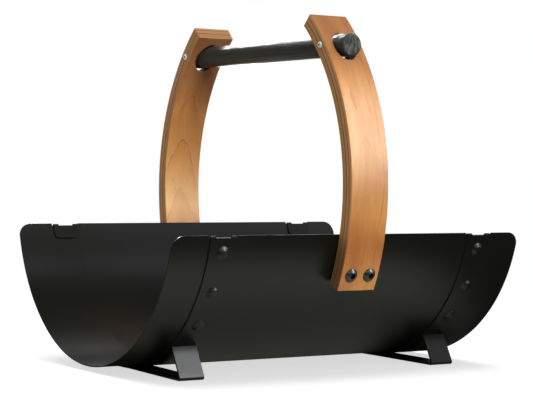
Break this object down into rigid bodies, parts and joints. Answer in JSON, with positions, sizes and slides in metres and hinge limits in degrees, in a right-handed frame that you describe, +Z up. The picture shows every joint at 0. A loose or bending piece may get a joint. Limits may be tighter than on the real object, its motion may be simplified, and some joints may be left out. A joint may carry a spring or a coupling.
{
  "type": "log carrier",
  "caption": "Free-standing log carrier: rolled black steel trough of lapped, riveted panels on bent strap feet, with bent plywood arms joined by a round black handle bar.",
  "frame": {"origin": "on the floor, under the middle of the trough", "axes": "+X along the trough towards the panel that laps over its neighbour, +Y from the front arm to the rear arm, +Z up"},
  "size_m": [0.42, 0.3834, 0.3646],
  "materials": {
    "black_steel": "satin",
    "plywood": "satin lacquer",
    "black_wood": "gloss",
    "zinc": "zinc plated",
    "black_fasteners": "black oxide",
    "spacers": "matt"
  },
  "bodies": {
    "root": {"left_end_panel": "black_steel", "centre_panel": "black_steel", "right_end_panel": "black_steel", "left_foot": "black_steel", "right_foot": "black_steel", "left_foot_rivets": "black_steel", "right_foot_rivets": "black_steel", "left_seam_front_rivets": "black_steel", "left_seam_rear_rivets": "black_steel", "right_seam_front_rivets": "black_steel", "right_seam_rear_rivets": "black_steel", "front_arm": "plywood", "rear_arm": "plywood", "handle_bar": "black_wood", "front_bar_screw": "zinc", "rear_bar_screw": "zinc", "front_left_bolt": "black_fasteners", "front_left_spacer": "spacers", "front_left_washer": "zinc", "front_left_nut": "zinc", "front_right_bolt": "black_fasteners", "front_right_spacer": "spacers", "front_right_washer": "zinc", "front_right_nut": "zinc", "rear_left_bolt": "black_fasteners", "rear_left_spacer": "spacers", "rear_left_washer": "zinc", "rear_left_nut": "zinc", "rear_right_bolt": "black_fasteners", "rear_right_spacer": "spacers", "rear_right_washer": "zinc", "rear_right_nut": "zinc"}
  },
  "joints": []
}
